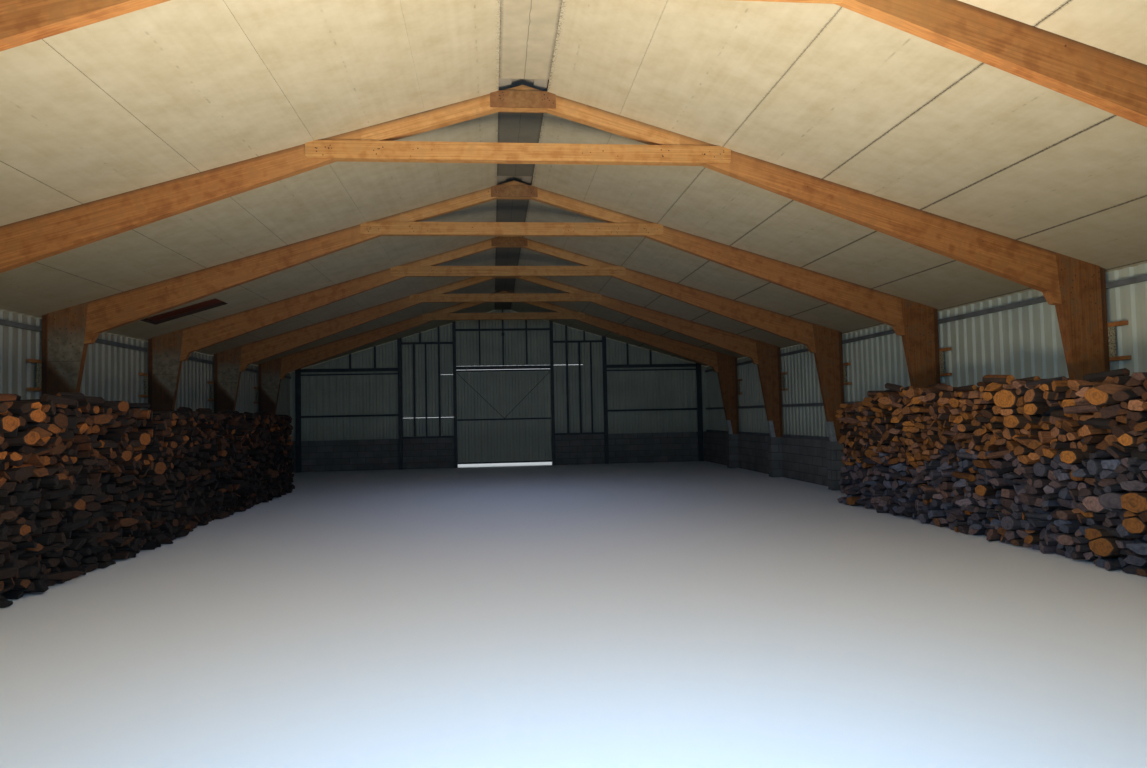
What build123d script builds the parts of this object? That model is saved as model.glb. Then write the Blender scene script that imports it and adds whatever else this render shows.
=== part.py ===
# Timber portal-frame barn used as a log store: six tapered portals, insulated roof,
# ribbed steel cladding on a block dwarf wall, steel-framed gables, one sliding door.
# X runs across the barn, Y along it (front doorway at -Y), Z up, all sizes in millimetres.
# The origin lies on the floor, in the middle of the plan.
import os
from math import sin

from build123d import *

# Layout
bay = 3400
portals = 6
end_bay = 3400
frame_thick = 110
half_frame = 6675
eave_z = 3170
ridge_z = 5160

# Legs
leg_strip = 75
strip_set_back = 20
knee_depth = 495
joint_lean = 53
foot_depth = 210
shoe_height = 400
shoe_plate = 6
shoe_flange = 90

# Rafters, collar and ridge
rafter_end_depth = 425
rafter_start_depth = 220
splice_x = 1700
upper_depth = 180
haunch_length = 156
haunch_drop = 144
haunch_toe = 80
haunch_lip = 11
soffit_half = 246
collar_drop = 830
collar_depth = 190
collar_tip = 120
collar_thick = 20
collar_let_in = 90
collar_round = 30
gusset_half = 350
gusset_flat = 250
gusset_drop = 253
gusset_thick = 20

# Walls
wall_height = 970
wall_thick = 200
pilaster_depth = 255
pilaster_width = 250
rail_size = 65
rail_height = 60
middle_rail_rise = 730
top_rail_drop = 230
sheet_depth = 35
sheet_metal = 4
sheet_pitch = 207
rib_corners = [0.30, 0.42, 0.78, 0.90]
sheet_head = 5

# Roof
board_thick = 60
board_inner = 260
board_width = 1135
edge_board = 1300
eave_overhang = 105
joint_width = 5
joint_depth = 3
hole_inset = 720
hole_length = 1210
hole_start = 100
hole_width = 630
roof_sheet_pitch = 333
roof_rib = 39
roof_inner = 120
roof_drip = 70
roof_overhang = 60
board_overhang = 100
strip_thick = 12
strip_breaks = [320, 320, 460, 400, 400, 400]
cap_half = 330
cap_metal = 4
cap_gap = 1

# Gables
post_depth = 100
jamb_x = 1570
jamb_width = 100
outer_post_x = 3300
outer_post_width = 120
middle_post_x = 2060
middle_post_width = 60
corner_inset = 150
corner_post_width = 150
stud_width = 50
gable_rail_depth = 110
gable_wall_thick = 150
opening_top = 3270
lintel_low = 3140
lintel_depth = 110
over_door_drop = 725
side_rail_drop = 1140
thick_rail_height = 100
thin_rail_drop = 138
thin_rail_height = 40
rail_clear = 5
rail_end_cut = 20
mid_rail = 1730
door_studs = [-760, 0, 760]
side_studs = [2490, 2864]
short_stud = 2660
outer_studs = [4090, 4860]
panel_gap = 6
upper_slot_length = 975
upper_slot_height = 12
low_slot = [1621, 1631]
high_slot = [2999, 3007]
high_slot_length = 405

# Sliding door
door_gap = 20
door_half = 1600
door_low = 100
door_tube = 50
door_depth = 40
door_mid = 1500
brace_rod = 16
travel = 3100
track_width = 80
track_height = 85
track_metal = 5
track_slot = 24
track_gap = 25
track_spare = 100
track_lead = 150
bracket_x = 800
bracket_width = 60
bracket_height = 50
packers = [-2500, -4100]
hanger_x = 1200
hanger_bolt = 16
hanger_length = 120
hanger_thick = 16
hanger_height = 24
wheel_radius = 24
wheel_spread = 38
wheel_width = 64
wheel_clear = 0.3

# Firewood
stack_clear = 15
right_stack_depth = 1100
left_stack_depth = 1900
left_far_depth = 1750
stack_height = 1860
stack_start = -9000
right_stack_end = -450
left_step = -1600
left_stack_end = 4900
stack_end_lean = 60
stack_end_drop = 180
log_size = 150
log_spread = 0.3
log_shoulder = 0.25
log_turn = 2.4

slope = (ridge_z - eave_z) / half_frame
gable_line = (portals - 1) * bay / 2 + end_bay
portal_rows = [(i - (portals - 1) / 2) * bay for i in range(portals)]
leg_outer = half_frame - leg_strip
leg_top_x = leg_outer - knee_depth
leg_foot_x = leg_outer - foot_depth
wall_face = leg_outer
sheet_x = half_frame + rail_size
sheet_back = sheet_x + sheet_depth
gable_sheet_y = gable_line + gable_rail_depth
board_outer = sheet_back + eave_overhang


def roof(x):
    """Height of the underside of the roof boards."""
    return ridge_z - slope * abs(x)


def save(piece, name):
    piece.part.label = name
    export_step(piece.part, f"parts/{name}.step")


def plate(points, y_from, y_to, mode=Mode.ADD):
    """Outline in X and Z, carried along Y."""
    low, high = sorted((y_from, y_to))
    with BuildSketch(Plane.XZ.offset(-high)) as outline:
        with BuildLine():
            Polyline(*points, close=True)
        make_face()
    extrude(outline.sketch, amount=high - low, mode=mode)


def block(x_from, x_to, y_from, y_to, z_from, z_to, mode=Mode.ADD):
    plate([(x_from, z_from), (x_to, z_from), (x_to, z_to), (x_from, z_to)],
          y_from, y_to, mode)


def sided(side, points):
    return [(side * x, z) for x, z in points]


def ribs(length, pitch, pan, crown, back):
    """Ribbed sheet along local X: pans and crowns on one face, the other face plain.

    A rib's corners stand at fixed shares of the pitch.
    """
    count = int(length // pitch)
    start = -count * pitch / 2
    edge = [(-length / 2, pan)]
    for i in range(count):
        for share, level in zip(rib_corners, (pan, crown, crown, pan)):
            edge.append((start + (i + share) * pitch, level))
    edge.append((length / 2, pan))
    with BuildLine() as outline:
        Polyline(*edge, (length / 2, back), (-length / 2, back), close=True)
    make_face(outline.edges())


os.makedirs("parts", exist_ok=True)

# Portals
rafter_low = roof(leg_top_x) - rafter_end_depth
knee_z = rafter_low - haunch_drop - haunch_lip
joint_x = leg_top_x - joint_lean
leg_outline = [
    (leg_foot_x, wall_height), (leg_outer, wall_height), (leg_outer, roof(leg_outer)),
    (joint_x, roof(joint_x)), (leg_top_x, knee_z),
]
strip_outline = [
    (leg_outer, wall_height), (half_frame, wall_height),
    (half_frame, roof(half_frame)), (leg_outer, roof(leg_outer)),
]
rafter_outline = [
    (splice_x, roof(splice_x)), (splice_x, roof(splice_x) - rafter_start_depth),
    (leg_top_x - haunch_length, rafter_low),
    (leg_top_x - haunch_toe, rafter_low - haunch_drop),
    (leg_top_x, knee_z), (joint_x, roof(joint_x)),
]
half_t = frame_thick / 2


def shoe(side, y):
    run = (leg_foot_x - leg_top_x) / (knee_z - wall_height)
    top = wall_height + shoe_height
    edge_top = leg_foot_x - run * shoe_height
    outline = [
        (leg_foot_x - shoe_plate, wall_height), (leg_foot_x + shoe_flange, wall_height),
        (edge_top + shoe_flange, top), (edge_top - shoe_plate, top),
    ]
    with BuildPart() as piece:
        plate(sided(side, outline), y - half_t - shoe_plate, y + half_t + shoe_plate)
        plate(sided(side, leg_outline), y - half_t, y + half_t, Mode.SUBTRACT)
    return piece


for number, y in enumerate(portal_rows):
    front = y - half_t
    back = y + half_t
    with BuildPart() as legs:
        for side in (-1, 1):
            plate(sided(side, leg_outline), front, back)
            plate(sided(side, strip_outline), front + strip_set_back, back)
    save(legs, f"portal_{number}_legs")

    with BuildPart() as rafters:
        for side in (-1, 1):
            plate(sided(side, rafter_outline), front, back)
    save(rafters, f"portal_{number}_rafters")

    half_ridge = [
        (splice_x, roof(splice_x)), (splice_x, roof(splice_x) - upper_depth),
        (soffit_half, roof(soffit_half) - upper_depth),
    ]
    with BuildPart() as ridge:
        plate([(0, ridge_z)] + half_ridge + sided(-1, reversed(half_ridge)), front, back)
    save(ridge, f"portal_{number}_ridge")

    collar_low = ridge_z - collar_drop
    collar_high = collar_low + collar_depth
    clip_x = (ridge_z - collar_high) / slope
    collar_half = clip_x + collar_tip
    half_collar = [
        (clip_x, collar_high), (collar_half, roof(collar_half)), (collar_half, collar_low),
    ]
    half_gusset = [(gusset_flat, roof(gusset_flat)), (gusset_half, roof(gusset_half)),
                   (gusset_half, ridge_z - gusset_drop)]
    rafter_fall = (roof(splice_x) - rafter_start_depth - rafter_low) / (
        leg_top_x - haunch_length - splice_x)
    half_let_in = [
        ((ridge_z - upper_depth - collar_high) / slope, collar_high),
        (splice_x, roof(splice_x) - upper_depth), (splice_x, roof(splice_x) - rafter_start_depth),
        (splice_x + (roof(splice_x) - rafter_start_depth - collar_low) / rafter_fall, collar_low),
    ]
    with BuildPart() as collar:
        plate(half_collar + sided(-1, reversed(half_collar)), front - collar_thick, front)
        ends = collar.edges().filter_by(Axis.Y)
        fillet(ends.group_by(Axis.Z)[0], radius=collar_round)
        plate(half_let_in + sided(-1, reversed(half_let_in)), front, front + collar_let_in)
        for face, outer in ((front, front - gusset_thick), (back, back + gusset_thick)):
            plate(half_gusset + sided(-1, reversed(half_gusset)), face, outer)
    save(collar, f"portal_{number}_collar")

with BuildPart() as shoes:
    for y in portal_rows:
        for side in (-1, 1):
            add(shoe(side, y).part)
save(shoes, "leg_shoes")

# Side walls
wall_end = gable_line + gable_wall_thick
sheet_foot = wall_height
sheet_crown = sheet_depth - sheet_metal
rail_heights = [wall_height, wall_height + middle_rail_rise, eave_z - top_rail_drop]
for name, side in (("left", -1), ("right", 1)):
    with BuildPart() as dwarf_wall:
        block(side * wall_face, side * (wall_face + wall_thick), -wall_end, wall_end,
              0, wall_height)
        for y in portal_rows:
            block(side * (wall_face - pilaster_depth), side * wall_face,
                  y - pilaster_width / 2, y + pilaster_width / 2, 0, wall_height)
    save(dwarf_wall, f"{name}_dwarf_wall")

    with BuildPart() as sheets:
        with BuildSketch(Plane((side * sheet_x, 0, sheet_foot), x_dir=(0, -side, 0))):
            ribs(2 * gable_sheet_y, sheet_pitch, 0, sheet_crown, sheet_depth)
        extrude(amount=roof(sheet_back) - sheet_head - sheet_foot)
    save(sheets, f"{name}_wall_sheets")

    with BuildPart() as rails:
        for z in rail_heights:
            block(side * half_frame, side * (half_frame + rail_size),
                  -gable_line, gable_line, z, z + rail_height)
    save(rails, f"{name}_wall_rails")

# Roof
roof_end = gable_sheet_y + sheet_depth + board_overhang


def sloped(side, x_from, x_to, low, high):
    """Corners of a layer that lies between two heights above the boards' underside."""
    return sided(side, [
        (x_from, roof(x_from) + low), (x_to, roof(x_to) + low),
        (x_to, roof(x_to) + high), (x_from, roof(x_from) + high),
    ])


fall = (1 + slope ** 2) ** 0.5
board_rise = board_thick * fall
for name, side in (("left", -1), ("right", 1)):
    with BuildPart() as boards:
        plate(sloped(side, board_inner, board_outer, 0, board_rise), -roof_end, roof_end)
        x = board_outer - edge_board
        while x > board_inner + joint_width:
            plate(sloped(side, x - joint_width / 2, x + joint_width / 2, -joint_depth, joint_depth),
                  -roof_end, roof_end, Mode.SUBTRACT)
            x -= board_width
        if side < 0:
            hole_x = -board_outer + hole_inset
            block(hole_x, hole_x + hole_length, hole_start, hole_start + hole_width,
                  eave_z, ridge_z, Mode.SUBTRACT)
    save(boards, f"{name}_roof_boards")

    with BuildPart() as covering:
        top = (side * roof_inner, 0, roof(roof_inner) + board_rise)
        down = (side, 0, -slope)
        with BuildSketch(Plane(top, x_dir=(0, side, 0), z_dir=down)):
            ribs(2 * (roof_end + roof_overhang), roof_sheet_pitch, sheet_metal, roof_rib, 0)
        extrude(amount=(board_outer + roof_drip - roof_inner) * fall)
    save(covering, f"{name}_roof_sheets")

with BuildPart() as ridge_strip:
    past_portal = half_t + gusset_thick
    starts = [-gable_line] + [y + past_portal for y in portal_rows]
    ends = [y - half_t - short for y, short in zip(portal_rows, strip_breaks)] + [gable_line]
    for start, end in zip(starts, ends):
        block(-board_inner, board_inner, start, end,
              roof(board_inner), roof(board_inner) + strip_thick)
save(ridge_strip, "ridge_strip")

cap_low = board_rise + (roof_rib + cap_gap) * fall
with BuildPart() as ridge_cap:
    half_cap = [(0, ridge_z + cap_low), (cap_half, roof(cap_half) + cap_low)]
    top_cap = [(x, z + cap_metal) for x, z in half_cap]
    plate(half_cap + [top_cap[1], top_cap[0]] + sided(-1, [top_cap[1], half_cap[1]]),
          -roof_end, roof_end)
save(ridge_cap, "ridge_cap")


# Gables
def post(x, width, end, foot=0):
    """Upright that reaches the roof, cut to its slope."""
    left, right = x - width / 2, x + width / 2
    points = [(left, foot), (right, foot), (right, roof(right)), (left, roof(left))]
    if left < 0 < right:
        points.insert(3, (0, ridge_z))
    plate(points, end * (gable_line - post_depth), end * gable_line)


def stud(x, end, z_from, z_to=None):
    """Slim upright behind the cladding, up to a rail or else to the roof."""
    left, right = x - stud_width / 2, x + stud_width / 2
    points = [(left, z_from), (right, z_from), (right, z_to or roof(right))]
    if left < 0 < right and z_to is None:
        points.append((0, ridge_z))
    points.append((left, z_to or roof(left)))
    plate(points, end * gable_line, end * (gable_line + gable_rail_depth))


def gable_rail(x_from, x_to, z, height, end):
    block(x_from, x_to, end * gable_line, end * (gable_line + gable_rail_depth),
          z - height / 2, z + height / 2)


jamb_in = jamb_x - jamb_width / 2
jamb_out = jamb_x + jamb_width / 2
outer_in = outer_post_x - outer_post_width / 2
outer_out = outer_post_x + outer_post_width / 2
sheet_edge = sheet_back
corner_post_x = wall_face - corner_inset
corner_rail_x = corner_post_x - rail_end_cut
over_door_rail = ridge_z - over_door_drop
side_rail = ridge_z - side_rail_drop
thick_rail = roof(corner_rail_x) - rail_clear - thick_rail_height / 2
thin_rail = thick_rail - thin_rail_drop
slots = [
    (jamb_out + rail_clear, jamb_out + rail_clear + upper_slot_length,
     opening_top - upper_slot_height, opening_top),
    (-outer_in, -jamb_out - rail_clear, *low_slot),
    (-jamb_out - rail_clear - high_slot_length, -jamb_out - rail_clear, *high_slot),
]
for name, end in (("rear", 1), ("front", -1)):
    with BuildPart() as posts:
        for side in (-1, 1):
            post(side * jamb_x, jamb_width, end)
            post(side * outer_post_x, outer_post_width, end)
            post(side * middle_post_x, middle_post_width, end, wall_height)
            post(side * corner_post_x, corner_post_width, end)
    save(posts, f"{name}_gable_posts")

    with BuildPart() as rails:
        block(-jamb_in, jamb_in, end * (gable_line - post_depth), end * gable_line,
              lintel_low, lintel_low + lintel_depth)
        gable_rail(-jamb_out, jamb_out, over_door_rail, rail_height, end)
        for side in (-1, 1):
            near, far = sorted((side * (jamb_out + rail_clear), side * outer_out))
            gable_rail(near, far, side_rail, rail_height, end)
            gable_rail(near, far, wall_height + rail_height / 2, rail_height, end)
            near, far = sorted((side * (outer_out + rail_clear), side * corner_rail_x))
            gable_rail(near, far, thick_rail, thick_rail_height, end)
            gable_rail(near, far, thin_rail, thin_rail_height, end)
            gable_rail(near, far, mid_rail, rail_height, end)
    save(rails, f"{name}_gable_rails")

    half_rail = rail_height / 2
    with BuildPart() as studs:
        for x in door_studs:
            stud(x, end, opening_top, over_door_rail - half_rail)
            stud(x, end, over_door_rail + half_rail)
        for side in (-1, 1):
            for x in side_studs:
                stud(side * x, end, wall_height + rail_height, side_rail - half_rail)
            stud(side * short_stud, end, side_rail + half_rail)
            for x in outer_studs:
                stud(side * x, end, thick_rail + thick_rail_height / 2)
    save(studs, f"{name}_gable_studs")

    with BuildPart() as gable_walls:
        for side in (-1, 1):
            block(side * jamb_in, side * wall_face, end * gable_line,
                  end * (gable_line + gable_wall_thick), 0, wall_height)
    save(gable_walls, f"{name}_dwarf_walls")

    with BuildPart() as sheets:
        with BuildSketch(Plane((0, end * gable_sheet_y, sheet_foot), x_dir=(end, 0, 0))):
            ribs(2 * sheet_edge, sheet_pitch, 0, sheet_crown, sheet_depth)
        extrude(amount=ridge_z - sheet_foot)
        outer = end * (gable_sheet_y + 2 * sheet_depth)
        inner = end * gable_line
        clip = [(-sheet_edge, sheet_foot), (sheet_edge, sheet_foot),
                (sheet_edge, roof(sheet_edge) - sheet_head), (0, ridge_z - sheet_head),
                (-sheet_edge, roof(sheet_edge) - sheet_head)]
        plate(clip, inner, outer, Mode.INTERSECT)
        block(-jamb_in, jamb_in, inner, outer, 0, opening_top, Mode.SUBTRACT)
        for side in (-1, 1):
            block(side * jamb_x - panel_gap / 2, side * jamb_x + panel_gap / 2, inner, outer,
                  0, ridge_z, Mode.SUBTRACT)
        if end > 0:
            for x_from, x_to, z_from, z_to in slots:
                block(x_from, x_to, inner, outer, z_from, z_to, Mode.SUBTRACT)
    save(sheets, f"{name}_gable_sheets")

# Sliding door
door_face = gable_line + gable_wall_thick + door_gap
door_back = door_face + door_depth
door_top = lintel_low
with BuildPart() as door_frame:
    block(-door_half, door_half, door_face, door_back, door_low, door_top)
    for low, high in ((door_low + door_tube, door_mid), (door_mid + door_tube, door_top - door_tube)):
        block(-door_half + door_tube, door_half - door_tube, door_face, door_back,
              low, high, Mode.SUBTRACT)
    for side in (-1, 1):
        corner = (side * (door_half - door_tube), door_top - door_tube)
        centre = (0, door_mid + door_tube)
        dx, dz = corner[0] - centre[0], corner[1] - centre[1]
        reach = (dx ** 2 + dz ** 2) ** 0.5
        across = (brace_rod / 2 * dz / reach, -brace_rod / 2 * dx / reach)
        outline = [
            (centre[0] - across[0], centre[1] - across[1]),
            (centre[0] + across[0], centre[1] + across[1]),
            (corner[0] + across[0], corner[1] + across[1]),
            (corner[0] - across[0], corner[1] - across[1]),
        ]
        plate(outline, door_face, door_face + brace_rod)
save(door_frame, "door_frame")

with BuildPart() as door_sheets:
    with BuildSketch(Plane((0, door_back, door_low), x_dir=(1, 0, 0))):
        ribs(2 * door_half, sheet_pitch, 0, sheet_crown, sheet_depth)
    extrude(amount=door_top - door_low)
save(door_sheets, "door_sheets")

track_y = (door_face + door_back) / 2
track_low = door_top + track_gap
track_ends = (-door_half - travel - track_spare, door_half + track_lead)
with BuildPart() as track:
    half_w = track_width / 2
    y0, y1 = track_y - half_w, track_y + half_w
    z0, z1 = track_low, track_low + track_height
    with BuildSketch(Plane.YZ.offset(track_ends[0])):
        with BuildLine():
            Polyline((y0, z0), (track_y - track_slot / 2, z0),
                     (track_y - track_slot / 2, z0 + track_metal),
                     (y0 + track_metal, z0 + track_metal), (y0 + track_metal, z1 - track_metal),
                     (y1 - track_metal, z1 - track_metal), (y1 - track_metal, z0 + track_metal),
                     (track_y + track_slot / 2, z0 + track_metal),
                     (track_y + track_slot / 2, z0), (y1, z0), (y1, z1), (y0, z1), close=True)
        make_face()
    extrude(amount=track_ends[1] - track_ends[0])
    half_b = bracket_width / 2
    bracket_low = track_low + (track_height - bracket_height) / 2
    for x in (-bracket_x, 0, bracket_x):
        block(x - half_b, x + half_b, gable_line, y0, bracket_low, bracket_low + bracket_height)
    for x in packers:
        block(x - half_b, x + half_b, gable_sheet_y + sheet_depth, y0,
              bracket_low, bracket_low + bracket_height)
save(track, "door_track")

with BuildPart() as hangers:
    for side in (-1, 1):
        x = side * hanger_x
        z_axle = track_low + track_metal + wheel_radius + wheel_clear
        with BuildSketch(Plane.XY.offset(door_top)):
            with Locations((x, track_y)):
                Circle(hanger_bolt / 2)
        extrude(amount=z_axle - door_top)
        block(x - hanger_length / 2, x + hanger_length / 2,
              track_y - hanger_thick / 2, track_y + hanger_thick / 2,
              z_axle - hanger_height / 2, z_axle + hanger_height / 2)
        with BuildSketch(Plane.XZ.offset(-track_y - wheel_width / 2)):
            with Locations((x - wheel_spread, z_axle), (x + wheel_spread, z_axle)):
                Circle(wheel_radius)
        extrude(amount=wheel_width)
save(hangers, "door_hangers")


# Firewood stacks
def course(y_from, y_to, z):
    """Upper edge of a stack from one end to the other, log beside log, round or split."""
    edge = []
    number = 0
    while y_from < y_to - log_size:
        width = log_size * (1 + log_spread * sin(log_turn * number))
        crown = z + width / 2 * (1 + log_spread * sin(number))
        if number % 3:
            edge += [(y_from, z), (y_from + width * log_shoulder, crown),
                     (y_from + width * (1 - log_shoulder), crown)]
        else:
            edge += [(y_from, z), (y_from + width / 2, crown)]
        y_from += width
        number += 1
    return edge + [(y_to, z)]


def stack(side, face, back, y_to, end_drop):
    """Pile of logs between two planes, with a leaning far end."""
    head = y_to - stack_end_lean
    with BuildSketch(Plane.YZ.offset(side * face)) as pile:
        with BuildLine():
            Polyline((stack_start, 0), *course(stack_start, head, stack_height)[:-1],
                     (head, stack_height - end_drop), (y_to, 0), close=True)
        make_face()
    extrude(pile.sketch, amount=side * (back - face))


def cut_for_portals(side):
    """Room round each leg, its shoe and its pilaster."""
    clear = stack_clear
    over = stack_height + 2 * log_size
    for y in portal_rows:
        block(side * (wall_face - pilaster_depth - clear), side * (wall_face + clear),
              y - pilaster_width / 2 - clear, y + pilaster_width / 2 + clear,
              -clear, wall_height + clear, Mode.SUBTRACT)
        reach = (leg_foot_x - leg_top_x) / (knee_z - wall_height) * (over - wall_height)
        outline = [
            (leg_foot_x - 2 * clear, wall_height), (half_frame, wall_height),
            (half_frame, over), (leg_foot_x - reach - 2 * clear, over),
        ]
        plate(sided(side, outline), y - half_t - clear, y + half_t + clear, Mode.SUBTRACT)


with BuildPart() as right_stack:
    stack(1, wall_face - right_stack_depth, wall_face, right_stack_end, stack_end_drop)
    cut_for_portals(1)
save(right_stack, "right_log_stack")

with BuildPart() as left_stack:
    stack(-1, wall_face - left_far_depth, wall_face, left_stack_end, stack_end_drop)
    stack(-1, wall_face - left_stack_depth, wall_face - left_far_depth, left_step, 0)
    cut_for_portals(-1)
save(left_stack, "left_log_stack")
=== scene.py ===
import math
import random
from functools import partial

import bmesh
import bpy
from mathutils import Matrix, Vector


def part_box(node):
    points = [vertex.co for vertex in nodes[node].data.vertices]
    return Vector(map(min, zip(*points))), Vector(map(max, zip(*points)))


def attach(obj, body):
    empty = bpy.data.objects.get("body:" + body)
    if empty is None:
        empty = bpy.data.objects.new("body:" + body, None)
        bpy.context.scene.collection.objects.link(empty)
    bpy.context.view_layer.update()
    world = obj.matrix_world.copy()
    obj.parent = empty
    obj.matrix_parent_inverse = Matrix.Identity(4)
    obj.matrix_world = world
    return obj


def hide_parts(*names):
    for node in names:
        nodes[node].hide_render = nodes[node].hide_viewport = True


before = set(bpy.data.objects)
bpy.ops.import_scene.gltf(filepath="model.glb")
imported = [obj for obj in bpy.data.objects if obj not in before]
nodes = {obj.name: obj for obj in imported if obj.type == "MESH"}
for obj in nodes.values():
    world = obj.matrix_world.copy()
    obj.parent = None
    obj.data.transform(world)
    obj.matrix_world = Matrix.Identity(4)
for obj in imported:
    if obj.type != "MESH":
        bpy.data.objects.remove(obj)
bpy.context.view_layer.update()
scene = bpy.context.scene
print("frame loaded:", len(nodes), "nodes")

# Places that the frame gives, in metres: x runs across the hall, y along it to the rear, z up
rowCount = sum(name.endswith("_legs") for name in nodes)
rows = [sum(corner.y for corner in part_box(f"portal_{i}_legs")) / 2 for i in range(rowCount)]
legLow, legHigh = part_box("portal_0_legs")
legThick = legHigh.y - legLow.y
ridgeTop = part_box("portal_0_ridge")[1]
slope = (ridgeTop.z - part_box("portal_0_rafters")[1].z) / ridgeTop.x
pitch = math.atan(slope)
sheetLow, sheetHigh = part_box("right_wall_sheets")
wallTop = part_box("right_dwarf_wall")[1].z


def roofZ(x):  # underside of the roof boards
    return ridgeTop.z - slope * abs(x)


def toLinear(hexColour):  # sRGB hex to the linear values that Blender's sockets want
    values = [int(hexColour[i:i + 2], 16) / 255 for i in (1, 3, 5)]
    return [v / 12.92 if v <= 0.04045 else ((v + 0.055) / 1.055) ** 2.4 for v in values] + [1]


def perMetre(millimetres):  # texture scale for a pattern that repeats at this real size
    return 1000 / millimetres


def addNode(tree, kind, inputs=(), stops=(), **settings):
    # inputs, in socket order or by name, are values, hex colours, or nodes and sockets to link from; stops
    # are a ramp's colours
    node = tree.nodes.new("ShaderNode" + kind)
    for key, value in settings.items():
        setattr(node, key, value)
    for i, (place, colour) in enumerate(stops):
        stop = node.color_ramp.elements[i] if i < 2 else node.color_ramp.elements.new(place)
        stop.position = place
        stop.color = toLinear(colour)
    for key, value in (inputs.items() if isinstance(inputs, dict) else enumerate(inputs)):
        if isinstance(value, str):
            value = toLinear(value)
        if isinstance(value, bpy.types.Node):
            value = value.outputs[0]
        if isinstance(value, bpy.types.NodeSocket):
            tree.links.new(value, node.inputs[key])
        elif value is not None:
            node.inputs[key].default_value = value
    return node


def newMaterial(name, metallic=0.0, roughness=0.6):  # and a function that adds nodes to it
    material = bpy.data.materials.new(name)
    material.use_nodes = True
    shader = material.node_tree.nodes["Principled BSDF"]
    shader.inputs["Metallic"].default_value = metallic
    shader.inputs["Roughness"].default_value = roughness
    return material, partial(addNode, material.node_tree)


def openMaterial(material):  # to paint over it: the adding function and the colour so far
    shader = material.node_tree.nodes["Principled BSDF"]
    return partial(addNode, material.node_tree), shader.inputs["Base Color"].links[0].from_socket


def finishMaterial(material, colour, height=None, strength=0.0, distance=0.0, roughness=None):
    tree = material.node_tree
    shader = tree.nodes["Principled BSDF"]
    tree.links.new(colour.outputs[0], shader.inputs["Base Color"])
    if height:
        bump = addNode(tree, "Bump", {"Height": height, "Strength": strength, "Distance": distance})
        tree.links.new(bump.outputs[0], shader.inputs["Normal"])
    if roughness:
        tree.links.new(roughness.outputs[0], shader.inputs["Roughness"])
    return material


def hallPlace(add):  # the shaded point in the hall, its parts, and how far it is off the middle line
    place = add("TexCoord").outputs["Object"]
    parts = add("SeparateXYZ", [place]).outputs
    return place, parts, add("Math", [parts[0]], operation="ABSOLUTE")


def normalPart(add, axis):  # how far a face looks along an axis, from -1 to 1
    return add("SeparateXYZ", [add("NewGeometry").outputs["True Normal"]]).outputs[axis]


def overlap(add, *masks):  # where all these masks meet
    shared = masks[0]
    for mask in masks[1:]:
        shared = add("Math", [shared, mask], operation="MULTIPLY")
    return shared


def dress(material, *names):  # puts a material on CAD nodes
    for name in names:
        slots = nodes[name].data.materials
        slots.clear()
        slots.append(material)


def newPiece(name, points, faces, materials, body, slot, faceMaterials=None, closed=True):
    mesh = bpy.data.meshes.new(name)
    mesh.from_pydata(points, [], faces)
    for material in materials:
        mesh.materials.append(material)
    if faceMaterials:
        mesh.polygons.foreach_set("material_index", faceMaterials)
    mesh.validate()
    if closed:
        edited = bmesh.new()
        edited.from_mesh(mesh)
        bmesh.ops.recalc_face_normals(edited, faces=edited.faces)
        edited.to_mesh(mesh)
        edited.free()
    piece = bpy.data.objects.new(name, mesh)
    scene.collection.objects.link(piece)
    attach(piece, body)
    return piece


def keepShape(piece):  # makes what the modifiers show the piece's own mesh
    shown = bpy.data.meshes.new_from_object(piece.evaluated_get(bpy.context.evaluated_depsgraph_get()))
    piece.modifiers.clear()
    piece.data = shown


def boxPart(low, high):  # corners and faces of a box, for small plates and blocks
    corners = [(x, y, z) for z in (low[2], high[2]) for y in (low[1], high[1]) for x in (low[0], high[0])]
    return corners, [(0, 2, 3, 1), (4, 5, 7, 6), (0, 1, 5, 4), (2, 6, 7, 3), (0, 4, 6, 2), (1, 3, 7, 5)]


def joinParts(parts):
    points, faces = [], []
    for partPoints, partFaces in parts:
        start = len(points)
        points += partPoints
        faces += [tuple(start + i for i in face) for face in partFaces]
    return points, faces


# Glued spruce: planed boards in layers, glazed brown, so the grain runs with the beam and each layer
# has a tone of its own; knots, darker timber just under the roof boards, and grey smudges where rain or
# hands got at it.
# The growth rings are too fine to show, so the grain is drawn 14 mm wide
timber = {
    "layer": 42, "knotCell": 190, "knot": 0.055, "streak": 14, "blotch": 130, "roughness": 0.62,
    "sideShift": 0.37, "paler": (1.7, 3.0), "darkDepth": 0.05,
}


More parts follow.
